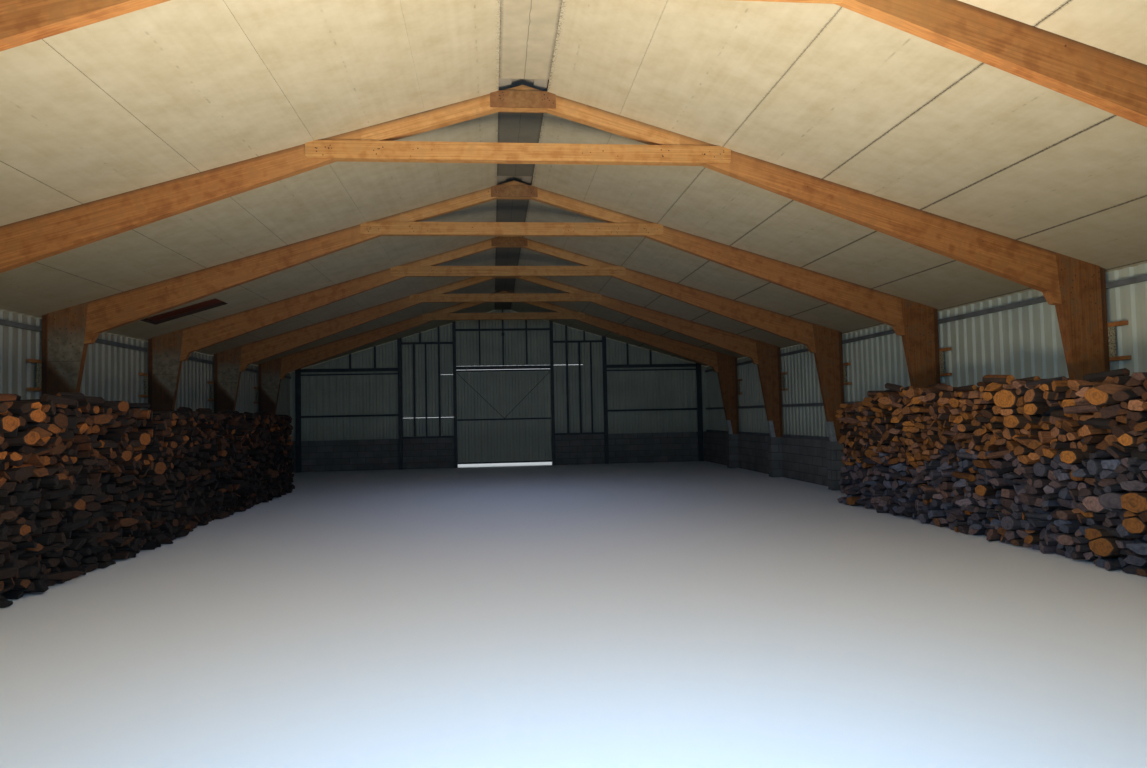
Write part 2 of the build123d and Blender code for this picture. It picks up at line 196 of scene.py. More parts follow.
def gluedSpruce(name, angle, light, dark, smudge, amount, darkUnderBoards=True):
    material, add = newMaterial(name, roughness=timber["roughness"])
    place, parts, outward = hallPlace(add)
    side = add("Math", [parts[0]], operation="SIGN")
    shifted = add("Math", [side, timber["sideShift"], parts[1]], operation="MULTIPLY_ADD")
    folded = add("CombineXYZ", [outward, shifted, parts[2]])
    along = add("Mapping", [folded, None, (0, angle, 0)])  # local X follows the grain
    streak = perMetre(timber["streak"])
    stretched = add("Mapping", [along, None, None, (1.1, streak, streak)])
    grain = add("TexNoise", [stretched, None, 1.0, 2.0, 0.6])
    blotches = add("TexNoise", [place, None, perMetre(timber["blotch"]), 3.0])
    across = add("SeparateXYZ", [along]).outputs[2]
    layers = add("Math", [across, perMetre(timber["layer"])], operation="MULTIPLY")
    layerTone = add("TexWhiteNoise", {"W": add("Math", [layers], operation="FLOOR")}, noise_dimensions="1D")
    mixed = add("Math", [grain, 0.8, blotches], operation="MULTIPLY_ADD")
    centred = add("Math", [mixed, 0.4], operation="SUBTRACT")
    wood = add("ValToRGB", [centred], stops=[(0.3, dark), (0.68, light)])
    layered = add("MixRGB", [add("Math", [layerTone, 0.22], operation="MULTIPLY"), wood, dark])
    knots = add("TexVoronoi", [along, None, perMetre(timber["knotCell"])])
    rare = add("Math", [add("SeparateXYZ", [knots.outputs["Color"]]), 0.45], operation="GREATER_THAN")
    spot = add("MapRange", [knots.outputs["Distance"], timber["knot"] * 0.4, timber["knot"], 0.85, 0.0])
    knotted = add("MixRGB", [overlap(add, rare, spot), layered, "#45220E"])
    colour = add("MixRGB", [add("MapRange", [blotches, 0.52, 0.66, 0.0, amount]), knotted, smudge])
    if name.endswith("rafters"):  # paler towards the ridge, where no rain gets
        colour = add("MixRGB", [add("MapRange", [outward, *timber["paler"], 0.6, 0.0]), colour, "#CD9A5B"])
    if darkUnderBoards:  # darker where the timber meets the boards
        rise = add("Math", [outward, slope, parts[2]], operation="MULTIPLY_ADD")
        under = add("Math", [ridgeTop.z, rise], operation="SUBTRACT")
        edge = add("MapRange", [under, 0.0, timber["darkDepth"], 1.3, 0.0])
        colour = add("MixRGB", [overlap(add, edge, grain), colour, "#3A2C20"])
    return finishMaterial(material, colour, grain, 0.3, 0.001)


# The legs: a darker outer strip, old nail stains at the top, and on the left side of the hall a front
# that is pale grey brown, partly bleached and partly painted light, above a slanting line of painted shadow
# that runs up from the inner edge
legFacing = {
    "strip": 0.085, "blotch": 90, "stain": 62, "stainRise": (2.0, 2.8), "top": (3.05, 3.3), "seam": 2.516,
    "shadowHeight": 2.02, "shadowAt": 6.24, "shadowSlope": 1.15, "shadowSoft": 0.16,
}


def weatherLegs(material):
    add, colour = openMaterial(material)
    place, parts, outward = hallPlace(add)
    blotches = add("TexNoise", [place, None, perMetre(legFacing["blotch"]), 3.0, 0.6])
    edge = legHigh.x - legFacing["strip"]
    stripped = add("MixRGB", [add("MapRange", [outward, edge, edge + 0.015, 0.0, 0.6]), colour, "#3B2211"])
    stains = add("TexVoronoi", [place, None, perMetre(legFacing["stain"])])
    dot = add("MapRange", [stains.outputs["Distance"], 0.08, 0.2, 0.85, 0.0])
    high = add("MapRange", [parts[2], *legFacing["stainRise"], 0.35, 1.0])
    front = add("Math", [normalPart(add, 1), -0.5], operation="LESS_THAN")
    left = add("Math", [parts[0], 0.0], operation="LESS_THAN")
    leftFront = overlap(add, front, left)
    top = add("Math", [blotches, 0.5, parts[2]], operation="MULTIPLY_ADD")
    below = add("MapRange", [top, *legFacing["top"], 0.95, 0.12])
    # the slanting edge of a painted shadow on the left legs' fronts, rising outward
    slant = add("Math", [outward, -legFacing["shadowSlope"], parts[2]], operation="MULTIPLY_ADD")
    foot = legFacing["shadowHeight"] - legFacing["shadowSlope"] * legFacing["shadowAt"]
    above = add("MapRange", [slant, foot, foot + legFacing["shadowSoft"]])
    inside = add("MapRange", [outward, edge - 0.01, edge, 1.0, 0.0])
    seam = add("Math", [parts[2], legFacing["seam"], 0.005], operation="COMPARE")
    # the pale grey brown front is partly bleached and partly painted light
    bleachedAndLit = add("MixRGB", [add("MapRange", [blotches, 0.3, 0.7]), "#665A46", "#948972"])
    seamed = add("MixRGB", [add("Math", [seam, 0.6], operation="MULTIPLY"), bleachedAndLit, "#4C4437"])
    faced = add("MixRGB", [overlap(add, leftFront, below, above, inside), stripped, seamed])
    # the dark below the slanting line is painted shadow
    underLine = add("Math", [0.95, above], operation="SUBTRACT")
    dirtAndShade = add("Math", [overlap(add, leftFront, underLine), 0.75], operation="MULTIPLY", use_clamp=True)
    shadowed = add("MixRGB", [dirtAndShade, faced, "#22140C"])
    finishMaterial(material, add("MixRGB", [overlap(add, dot, high), shadowed, "#2B2622"]))


# The flat gussets at the ridge, over the collars: older boards, brown, stained darker at their ends
gusset = {"patch": 60, "ends": (0.1, 0.24)}


def stainGussets(material):
    add, colour = openMaterial(material)
    place, parts, outward = hallPlace(add)
    middle = sum(corner.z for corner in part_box("portal_0_collar")) / 2
    high = add("Math", [parts[2], middle], operation="GREATER_THAN")
    ends = add("MapRange", [outward, *gusset["ends"], 0.0, 0.5])
    patches = add("TexNoise", [place, None, perMetre(gusset["patch"]), 3.0, 0.6])
    brown = add("ValToRGB", [patches], stops=[(0.3, "#84582F"), (0.7, "#A67C4C")])
    stained = add("MixRGB", [ends, brown, "#84522E"])
    finishMaterial(material, add("MixRGB", [high, colour, stained]))


rafterTimber = gluedSpruce("glazed glued spruce, rafters", -pitch, "#BF8145", "#935A2B", "#6B4526", 0.35)
ridgeTimber = gluedSpruce("glazed glued spruce, ridge", -pitch, "#DCA768", "#BA8347", "#8C6035", 0.3)
collarTimber = gluedSpruce("glazed spruce, collars", 0, "#D5A160", "#B1783D", "#85592F", 0.3, False)
legTimber = gluedSpruce("weathered glued spruce, legs", math.pi / 2, "#9C6430", "#74441C", "#4F4A3C", 0.45,
                        False)
weatherLegs(legTimber)
stainGussets(collarTimber)
for i in range(rowCount):
    dress(rafterTimber, f"portal_{i}_rafters")
    dress(ridgeTimber, f"portal_{i}_ridge")
    dress(collarTimber, f"portal_{i}_collar")
    dress(legTimber, f"portal_{i}_legs")
print("timber done")


# Wood-fibre and cement board: pale cream, dull, dusty, with dirt caught along its open joints and, more
# loosely, half way between them; its cut edges are dark and raw
board = {
    "width": 1.135, "edge": 1.3, "count": 5, "joint": (0.002, 0.03), "middle": 0.012, "cleaner": (0.8, 4.2),
    "ridgeEdge": (0.262, 0.31), "eaves": (3.2, 6.4), "dirtAndShade": 16, "mottle": 260, "streak": 60, "dots": 90,
}


def fibreBoard():
    material, add = newMaterial("cream fibre board", roughness=0.9)
    place, parts, outward = hallPlace(add)
    # distances from the nearest joint and from the middle of the board, in metres
    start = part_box("right_roof_boards")[1].x - board["edge"] + board["count"] * board["width"]
    fromEdge = add("Math", [start, outward], operation="SUBTRACT")
    count = add("Math", [fromEdge, board["width"]], operation="DIVIDE")
    off = add("Math", [add("Math", [count, 0.5, -0.5], operation="WRAP")], operation="ABSOLUTE")
    fromJoint = add("Math", [off, board["width"]], operation="MULTIPLY")
    fromMiddle = add("Math", [board["width"] / 2, fromJoint], operation="SUBTRACT")
    speckle = add("TexNoise", [place, None, perMetre(board["dirtAndShade"]), 2.0, 0.7])
    mottle = add("TexNoise", [place, None, perMetre(board["mottle"]), 4.0, 0.65])
    # the right slope has caught more dirt than the left one, and both more towards the eaves
    right = add("MapRange", [parts[0], -0.5, 0.5, 0.45, 1.0])
    outer = add("MapRange", [outward, *board["cleaner"], 0.35, 1.0])
    near = add("MapRange", [fromJoint, *board["joint"], 1.0, 0.0])
    loose = overlap(add, near, overlap(add, right, outer), speckle)
    dirtAndShade = add("MapRange", [loose, 0.15, 0.5, 0.0, 0.9])
    midNear = add("MapRange", [fromMiddle, 0.0, board["middle"], 1.0, 0.0])
    dots = add("TexNoise", [place, None, perMetre(board["dots"]), 1.0])
    midDirt = overlap(add, midNear, add("MapRange", [dots, 0.52, 0.7, 0.0, 0.4]))
    torn = add("MapRange", [outward, *board["ridgeEdge"], 1.0, 0.0])
    rim = overlap(add, torn, add("MapRange", [speckle, 0.5, 0.6]), right)
    joints = add("Math", [dirtAndShade, midDirt], operation="MAXIMUM")
    lines = add("Math", [joints, rim], operation="MAXIMUM")
    streak = perMetre(board["streak"])
    soft = add("Mapping", [place, None, None, (streak, 0.5, streak)])
    streaks = add("TexNoise", [soft, None, 1.0, 1.0])
    both = add("Math", [streaks, 0.3, mottle], operation="MULTIPLY_ADD")
    clean = add("ValToRGB", [add("Math", [both, 0.15], operation="SUBTRACT")],
                stops=[(0.25, "#BEB190"), (0.5, "#C8BD9F"), (0.8, "#D2C8AD")])
    # darker towards the eaves
    darkened = add("MixRGB", [add("MapRange", [outward, *board["eaves"], 0.0, 0.5]), clean, "#8F7F5C"])
    dusty = add("MixRGB", [lines, darkened, "#4F4637"])
    level = add("Math", [normalPart(add, 2)], operation="ABSOLUTE")
    cut = add("Math", [level, 0.5], operation="LESS_THAN")
    return finishMaterial(material, add("MixRGB", [cut, dusty, "#3A291E"]), speckle, 0.25, 0.001)


# Grey lining under the ridge: the same board, older and dirtier, torn and dark at its rims, cracked along
# its middle, and greyer from the second portal on
lining = {"mottle": 220, "torn": 26, "crack": (0.001, 0.005), "crackAt": 0.015, "rim": (0.225, 0.26)}


def ridgeLining():
    material, add = newMaterial("grey ridge lining", roughness=0.92)
    place, parts, outward = hallPlace(add)
    mottle = add("TexNoise", [place, None, perMetre(lining["mottle"]), 4.0])
    bent = add("Math", [mottle, 0.03, parts[0]], operation="MULTIPLY_ADD")
    off = add("Math", [add("Math", [bent, lining["crackAt"]], operation="SUBTRACT")], operation="ABSOLUTE")
    crack = add("MapRange", [off, *lining["crack"], 0.7, 0.0])
    rim = add("MapRange", [outward, *lining["rim"], 0.0, 1.2])
    torn = add("TexNoise", [place, None, perMetre(lining["torn"]), 2.0])
    clean = add("ValToRGB", [mottle], stops=[(0.3, "#B0A68C"), (0.7, "#C4B99E")])
    old = add("MapRange", [parts[1], rows[1] - 0.2, rows[1] + 0.2, 0.0, 0.8])
    darkened = add("MixRGB", [old, clean, "#5C5A50"])
    rimmed = add("MixRGB", [overlap(add, rim, torn), darkened, "#45403A"])
    return finishMaterial(material, add("MixRGB", [crack, rimmed, "#4A443B"]), torn, 0.25, 0.002)


dress(fibreBoard(), "left_roof_boards", "right_roof_boards")
dress(ridgeLining(), "ridge_strip")


# Coated steel sheet: pale grey green paint on zinc, satin, with dust low down and rain streaks. Under the
# ridge the roof sheets have a grey backing, pale partly from its own colour and partly as painted light
coat = {"streak": 40, "cloud": 700, "dustHeight": 0.5, "backingReach": 0.4}


def coatedSheet(name, light, dark, grime):
    material, add = newMaterial(name, roughness=0.45)
    place = add("TexCoord").outputs["Object"]
    height = add("SeparateXYZ", [place]).outputs[2]
    streak = perMetre(coat["streak"])
    stretched = add("Mapping", [place, None, None, (streak, streak, 0.8)])
    streaks = add("TexNoise", [stretched, None, 1.0, 4.0, 0.6])
    cloud = add("TexNoise", [place, None, perMetre(coat["cloud"]), 4.0])
    both = add("Math", [streaks, 0.5, cloud], operation="MULTIPLY_ADD")
    clean = add("ValToRGB", [add("Math", [both, 0.25], operation="SUBTRACT")],
                stops=[(0.3, dark), (0.7, light)])
    low = add("MapRange", [height, wallTop, wallTop + coat["dustHeight"], 0.6, 0.0])
    dusty = add("MixRGB", [overlap(add, low, cloud), clean, grime])
    rough = add("MapRange", {"Value": cloud, "To Min": 0.38, "To Max": 0.6})
    return finishMaterial(material, dusty, streaks, 0.05, 0.001, rough)


def greyBackingWithPaintedLight(material):
    add, colour = openMaterial(material)
    outward = hallPlace(add)[2]
    down = add("Math", [normalPart(add, 2), -0.2], operation="LESS_THAN")
    close = add("Math", [outward, coat["backingReach"]], operation="LESS_THAN")
    # the pale grey under the ridge is partly the backing's colour and partly painted light in the shade
    # there
    finishMaterial(material, add("MixRGB", [overlap(add, down, close), colour, "#B5AE9E"]))


wallCoat = coatedSheet("grey green coated sheet", "#C3C8B4", "#AFB5A2", "#7C7665")
dustyCoat = coatedSheet("grey green coated sheet, dusty side", "#AAA592", "#999583", "#6C6657")
roofCoat = coatedSheet("red brown coated sheet", "#7A3B2C", "#66301F", "#4A2A20")
capCoat = coatedSheet("dark grey coated sheet", "#565E62", "#454C50", "#3A3A38")
greyBackingWithPaintedLight(roofCoat)
greyBackingWithPaintedLight(capCoat)
dress(roofCoat, "left_roof_sheets", "right_roof_sheets")
dress(capCoat, "ridge_cap")


# Primer on rolled steel: almost black at the gables, grey on the side rails, matt, rusty at scratches
primer = {"cloud": 240, "speck": 22, "roughness": 0.55}


def primedSteel(name, tone, worn, rust):
    material, add = newMaterial(name, roughness=primer["roughness"])
    place = add("TexCoord").outputs["Object"]
    cloud = add("TexNoise", [place, None, perMetre(primer["cloud"]), 5.0])
    paint = add("ValToRGB", [cloud], stops=[(0.35, tone), (0.7, worn)])
    specks = add("TexNoise", [place, None, perMetre(primer["speck"]), 4.0, 0.7])
    colour = add("MixRGB", [add("MapRange", [specks, 0.62, 0.72, 0.0, 0.7]), paint, rust])
    return finishMaterial(material, colour, specks, 0.1, 0.001)


gablePrimer = primedSteel("dark primed steel", "#2A3033", "#3A4144", "#4A3426")
railSteel = primedSteel("grey steel rail", "#5F6361", "#75787A", "#6A5644")
dress(railSteel, "left_wall_rails", "right_wall_rails")
dress(gablePrimer, "door_track", "door_hangers", "door_frame",
      *[f"{end}_gable_{kind}" for end in ("rear", "front") for kind in ("posts", "rails", "studs")])


# Weathered zinc: hot-dip coating gone dull, grey patches as large as a coin, little shine
zinc = {"spangle": 24, "dust": 150, "metallic": 0.35, "roughness": 0.55}


def dullZinc():
    material, add = newMaterial("dull galvanised steel", zinc["metallic"], zinc["roughness"])
    place = add("TexCoord").outputs["Object"]
    spangle = add("TexVoronoi", [place, None, perMetre(zinc["spangle"])])
    grey = add("SeparateXYZ", [spangle.outputs["Color"]])
    clean = add("ValToRGB", [grey], stops=[(0.0, "#9EA2A0"), (1.0, "#B8BBB8")])
    cloud = add("TexNoise", [place, None, perMetre(zinc["dust"]), 4.0])
    colour = add("MixRGB", [add("MapRange", [cloud, 0.5, 0.8, 0.0, 0.6]), clean, "#8A8374"])
    return finishMaterial(material, colour, cloud, 0.05, 0.001)


dress(dullZinc(), "leg_shoes")


# Bare concrete block, 500 by 200 mm with 10 mm joints: open pores, grey, damp and darker low down
block = {"long": 500, "high": 200, "joint": 10, "pore": 7, "patch": 350, "damp": 0.45}


def concreteBlock():
    material, add = newMaterial("bare concrete block", roughness=0.92)
    place = add("TexCoord").outputs["Object"]
    parts = add("SeparateXYZ", [place]).outputs
    run = add("Math", [parts[0], parts[1]], operation="ADD")
    bond = add("TexBrick", {
        "Vector": add("CombineXYZ", [run, parts[2], 0.0]), "Color1": "#85847F", "Color2": "#74736F",
        "Mortar": "#5E5C57", "Scale": 1.0, "Mortar Size": block["joint"] / 1000, "Mortar Smooth": 0.2,
        "Brick Width": block["long"] / 1000, "Row Height": block["high"] / 1000})
    pores = add("TexNoise", [place, None, perMetre(block["pore"]), 3.0, 0.7])
    patches = add("TexNoise", [place, None, perMetre(block["patch"]), 5.0])
    patchy = add("MixRGB", [add("MapRange", [patches, 0.35, 0.7, 0.0, 0.5]), bond, "#5B5A55"])
    damp = add("MapRange", [parts[2], 0.0, block["damp"], 0.5, 0.0])
    colour = add("MixRGB", [overlap(add, damp, patches), patchy, "#3F3E3A"])
    joints = add("Math", [bond.outputs["Fac"], -1.6, pores], operation="MULTIPLY_ADD")
    return finishMaterial(material, colour, joints, 0.6, 0.004)


dress(concreteBlock(), "left_dwarf_wall", "right_dwarf_wall", "rear_dwarf_walls", "front_dwarf_walls")
print("boards, sheets, steel and blocks done")


# Ribbed cladding with both faces, in place of the plain-backed solids, in metres
ribbing = {"pitch": 0.207, "shares": (0.30, 0.42, 0.78, 0.90), "metal": 0.002}


def ribLine(length, crown, cuts=()):
    # (place along the sheet, depth) at each corner of the ribs, with more points at the cuts
    count = int(length // ribbing["pitch"])
    start = -count * ribbing["pitch"] / 2
    line = [(-length / 2, 0.0)]
    for i in range(count):
        for share, level in zip(ribbing["shares"], (0, crown, crown, 0)):
            line.append((start + (i + share) * ribbing["pitch"], level))
    line.append((length / 2, 0.0))
    for cut in cuts:
        for (a, p), (b, q) in zip(line, line[1:]):
            if a < cut < b:
                line.append((cut, p + (q - p) * (cut - a) / (b - a)))
        line.sort()
    return line


def ribbedSheet(name, line, spans, toPoint, body, outSign, coating=wallCoat):
    # spans gives, for a place along the sheet, the pairs of lower and upper heights that are clad
    points, faces, found = [], [], {}

    def corner(a, depth, z):
        key = (round(a, 5), round(depth, 5), round(z, 5))
        if key not in found:
            found[key] = len(points)
            points.append(toPoint(a, depth, z))
        return found[key]

    for (a, p), (b, q) in zip(line, line[1:]):
        for low, high in spans((a + b) / 2):
            face = [corner(a, p, low(a)), corner(b, q, low(b)), corner(b, q, high(b)), corner(a, p, high(a))]
            faces.append(face if outSign > 0 else face[::-1])
    piece = newPiece(name, points, faces, [coating], body, "wall_sheet", closed=False)
    skin = piece.modifiers.new("metal", "SOLIDIFY")
    skin.thickness = ribbing["metal"]
    skin.offset = 1
    keepShape(piece)
    return piece


crownDepth = sheetHigh.x - sheetLow.x - 2 * ribbing["metal"]
for side, name, coating in ((1, "right", wallCoat), (-1, "left", dustyCoat)):
    low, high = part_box(f"{name}_wall_sheets")
    piece = ribbedSheet(
        f"{name}_wall_cladding", ribLine(high.y - low.y, crownDepth),
        lambda a, top=high.z, foot=low.z: [(lambda s: foot, lambda s: top)],
        lambda a, depth, z, side=side: (side * (sheetLow.x + depth), a, z), "barn", side, coating)
    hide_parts(f"{name}_wall_sheets")

# Gables, in metres. head: gap under the roof. Under the ridge there are no boards, so the cladding rises
# there. daylight: left, right, low and high of the rear's slots
gable = {
    "openingHalf": 1.52, "openingTop": 3.27, "jamb": 1.57, "panelGap": 0.006, "head": 0.005,
    "ridgeHalf": 0.258, "ridgeRise": 0.05,
    "daylight": [(1.625, 2.6, 3.258, 3.27), (-3.235, -1.625, 1.621, 1.631), (-2.03, -1.625, 2.999, 3.007)],
}


def gableSpans(end, foot):
    def spans(a):
        rise = gable["ridgeRise"] if abs(a) < gable["ridgeHalf"] else -gable["head"]

        def top(s):
            return roofZ(s) + rise

        if abs(abs(a) - gable["jamb"]) < gable["panelGap"] / 2:
            return []
        if abs(a) < gable["openingHalf"]:
            return [(lambda s: gable["openingTop"], top)]
        found, start = [], foot
        if end > 0:
            for left, right, low, high in sorted(gable["daylight"], key=lambda slot: slot[2]):
                if left < a < right:
                    found.append((lambda s, z=start: z, lambda s, z=low: z))
                    start = high
        return found + [(lambda s, z=start: z, top)]
    return spans


for end, name in ((1, "rear"), (-1, "front")):
    low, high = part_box(f"{name}_gable_sheets")
    gapHalf = gable["panelGap"] / 2
    edges = (gable["ridgeHalf"], gable["openingHalf"], gable["jamb"] - gapHalf, gable["jamb"] + gapHalf)
    cuts = [0.0] + [sign * edge for sign in (-1, 1) for edge in edges]
    if end > 0:
        cuts += [edge for slot in gable["daylight"] for edge in slot[:2]]
    inner = low.y if end > 0 else high.y
    piece = ribbedSheet(
        f"{name}_gable_cladding", ribLine(high.x - low.x, crownDepth, cuts), gableSpans(end, low.z),
        lambda a, depth, z, end=end, inner=inner: (a, inner + end * depth, z), "barn", -end)
    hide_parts(f"{name}_gable_sheets")

doorLow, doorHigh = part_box("door_sheets")
piece = ribbedSheet(
    "door_cladding", ribLine(doorHigh.x - doorLow.x, crownDepth),
    lambda a: [(lambda s: doorLow.z, lambda s: doorHigh.z)],
    lambda a, depth, z: (a, doorLow.y + depth, z), "sliding_door", -1)
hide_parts("door_sheets")
print("cladding done")


# Stacked firewood: split oak, 70 to 180 mm across and some larger round logs, with its ends to the hall.
# Flat cuts between neighbours give the outlines of the ends, so that the logs lie as tight as real ones.
# Bark: dark, deeply furrowed. Split faces: long fibres, orange brown when new and blue grey when old.
# Sawn ends: paler, dirty, with rings round the pith that are drawn coarser than real ones.
# Sizes are metres and degrees, apart from ring, fibre and bark, which are millimetres
firewood = {
    "radius": (0.034, 0.062), "big": 0.084, "bigShare": 0.06, "stretch": 1.45, "crowd": 0.83, "gap": 0.011,
    "proud": 0.15, "length": (0.45, 0.52), "layer": 0.54, "yaw": 11, "slant": 20, "turned": 0.18,
    "lying": 4.5, "lyingLength": (0.22, 0.45), "lyingThick": (0.05, 0.09), "pushBack": 0.11, "core": 0.26,
    "topLength": (0.3, 0.5), "topThick": (0.06, 0.1), "turns": (0, 6.28), "tries": 5200, "cell": 0.17,
    "top": 1.86, "legClear": 6.19, "wallClear": 6.58, "chamfer": 0.007, "ring": 6, "fibre": 7, "bark": 22,
}


def logMaterial(name, fresh, old, shade, oldShade, cells=None):  # without cells it gets growth rings
    material, add = newMaterial(name, roughness=0.85)
    local = add("Attribute", attribute_name="grain").outputs["Vector"]
    tone = add("Attribute", attribute_name="tone").outputs["Fac"]
    age = add("Attribute", attribute_name="age").outputs["Fac"]
    if cells:
        stretched = add("Mapping", [local, None, None, cells])
        marks = add("TexNoise", [stretched, None, 1.0, 3.0, 0.65])
    else:
        marks = add("TexWave", {"Vector": local, "Scale": perMetre(firewood["ring"]) / 20, "Distortion": 5.0,
                                "Detail": 2.0, "Detail Scale": 3.0}, wave_type="RINGS", rings_direction="Z")
    pale = add("MixRGB", [age, fresh, old])
    deep = add("MixRGB", [age, shade, oldShade])
    toned = add("MixRGB", [tone, pale, deep])
    drawn = add("MapRange", [marks.outputs["Fac"], 0.3, 0.75, 0.6 if cells else 0.22, 0.0])
    marked = add("MixRGB", [drawn, toned, deep])
    dirtAndShade = add("TexNoise", [local, None, perMetre(55), 2.0])
    colour = add("MixRGB", [add("MapRange", [dirtAndShade, 0.5, 0.7, 0.0, 0.45]), marked, "#221C1A"])
    return finishMaterial(material, colour, marks.outputs["Fac"], 0.6, 0.004)


fibres, furrows = perMetre(firewood["fibre"]) / 2, perMetre(firewood["bark"])
rightOak = [
    logMaterial("oak bark", "#5C442F", "#52555F", "#211A15", "#25272C", (furrows, furrows, 9)),
    logMaterial("split oak", "#B4702D", "#686C7C", "#3A2415", "#25272C", (fibres, fibres, 5)),
    logMaterial("sawn oak ends", "#D08438", "#787C8D", "#42291A", "#25272C"),
]
# darker copies of the oak, for the left stack
leftOak = [
    logMaterial("oak bark, darker", "#3C281A", "#231811", "#110B07", "#0C0907", (furrows, furrows, 9)),
    logMaterial("split oak, darker", "#AA5C20", "#33200F", "#1B1008", "#0F0A07", (fibres, fibres, 5)),
    logMaterial("sawn oak ends, darker", "#C0702B", "#3A2616", "#20130A", "#130D09"),
]


def cutOutline(corners, across, up, reach):
    # keeps what lies on the near side of a line at this distance along (across, up)
    kept = []
    for (ax, az), (bx, bz) in zip(corners, corners[1:] + corners[:1]):
        before, after = ax * across + az * up - reach, bx * across + bz * up - reach
        if before <= 0:
            kept.append((ax, az))
        if (before < 0 < after) or (after < 0 < before):
            share = before / (before - after)
            kept.append((ax + (bx - ax) * share, az + (bz - az) * share))
    return kept


def roughRing(rng, count, turn, reach, uneven):
    fullTurn = 6.283
    return [(math.cos(turn + i * fullTurn / count) * reach * rng.uniform(*uneven),
             math.sin(turn + i * fullTurn / count) * reach * rng.uniform(*uneven)) for i in range(count)]


def scatterLogs(rng, first, last, topAt, marked):
    # centres of the ends along the stack (squashed) and up
    squash, grid = firewood["stretch"], {}
    chosen = {(y / squash, z, radius): dark for y, z, radius, dark in marked if first + 0.2 < y < last - 0.2}
    seeds = []

    def squareOf(a, z):
        return int(a // firewood["cell"]), int(z // firewood["cell"])

    def addSeed(seed):
        seeds.append(seed)
        grid.setdefault(squareOf(*seed[:2]), []).append(seed)

    def around(a, z, steps):
        column, row = squareOf(a, z)
        span = range(-steps, steps + 1)
        return [seed for i in span for j in span for seed in grid.get((column + i, row + j), ())]

    for seed in chosen:
        addSeed(seed)
    for attempt in range(int((last - first) * firewood["tries"])):
        radius = rng.uniform(*firewood["radius"])
        if rng.random() < firewood["bigShare"]:
            radius = firewood["big"]
        a = rng.uniform(first / squash + radius, last / squash - radius)
        z = rng.uniform(radius * 0.7, topAt(a * squash) - radius * 0.8)
        if all(math.hypot(a - b, z - c) > firewood["crowd"] * (radius + r) for b, c, r in around(a, z, 1)):
            addSeed((a, z, radius))
    ends = []
    for a, z, radius in seeds:
        darkness = chosen.get((a, z, radius))
        isRound = rng.random() < 0.2 or radius == firewood["big"] or darkness is not None
        count = 10 if isRound else rng.choice((4, 5, 6))
        turn = rng.uniform(*firewood["turns"])
        corners = roughRing(rng, count, turn, radius * (1.02 if isRound else 1.35), (0.93, 1.05))
        for b, c, r in around(a, z, 2):
            distance = math.hypot(b - a, c - z)
            if 0 < distance < 0.3:
                edge = (distance ** 2 + radius ** 2 - r ** 2) / (2 * distance) - firewood["gap"] / 2
                corners = cutOutline(corners, (b - a) / distance, (c - z) / distance, edge)
        corners = cutOutline(corners, 0, -1, z - 0.003)
        if len(corners) > 2:
            ends.append((a * squash, z, isRound, darkness, [(u * squash, v) for u, v in corners]))
    return ends


def lyingLogs(rng, first, last, topAt, look):
    # place, height, length, thickness and how proud, for the logs that lie along the stack
    lying = []
    for i in range(int((last - first) * firewood["lying"])):
        long, tall = rng.uniform(*firewood["lyingLength"]), rng.uniform(*firewood["lyingThick"])
        y, z = rng.uniform(first + 0.3, last - 0.3 - long), rng.uniform(0.08, topAt(last) - 0.12)
        lying.append((y, z, long, tall, rng.uniform(0, firewood["proud"] * 0.8)))
    y = first + 0.1
    while y < last - 0.7:  # along the top
        long, tall = rng.uniform(*firewood["topLength"]), rng.uniform(*firewood["topThick"])
        if rng.random() < look["topLogs"]:
            z = min(topAt(y) + tall * 0.4, look["limit"] - tall * 0.75)
            lying.append((y, z, long, tall, rng.uniform(0.02, 0.3)))
        y += long * rng.uniform(0.75, 1.3)
    return lying


def addPart(store, points, faces, kinds, grain, tone, age):
    start = len(store["points"])
    store["points"] += points
    store["faces"] += [tuple(start + i for i in face) for face in faces]
    store["kinds"] += kinds
    store["grain"] += grain
    store["tone"] += [tone] * len(points)
    store["age"] += [age] * len(points)


def addLog(store, rng, origin, axes, outline, length, slants, barkTurn, look):
    # axes: across, up and inward. slants tilt the sawn end. barkTurn: where the bark is, None for all round
    across, up, inward = axes
    count = len(outline)
    pith = (0, 0)
    if barkTurn is not None:
        pith = (-math.cos(barkTurn) * 0.06, -math.sin(barkTurn) * 0.06)
    shift = rng.uniform(0, 50)
    points, faces, kinds, grain = [], [], [], []
    for ring, scale in enumerate((0.93, 1.0, rng.uniform(0.85, 0.97))):
        for u, v in outline:
            depth = (0, firewood["chamfer"], length)[ring]
            if ring < 2:
                depth += u * slants[0] + v * slants[1]
            points.append(origin + across * (u * scale) + up * (v * scale) + inward * depth)
            grain.append((u - pith[0], v - pith[1], depth + shift))
    for i in range(count):
        j = (i + 1) % count
        middle = math.atan2(outline[i][1] + outline[j][1], outline[i][0] + outline[j][0])
        isBark = barkTurn is None or math.cos(middle - barkTurn) > 0.45
        for ring in (0, 1):
            low, high = ring * count, (ring + 1) * count
            faces.append((low + i, high + i, high + j, low + j))
            kinds.append(0 if isBark else (1 if ring else 2))
    faces += [tuple(range(count)), tuple(2 * count + i for i in reversed(range(count)))]
    addPart(store, points, faces, kinds + [2, 2], grain, *look)


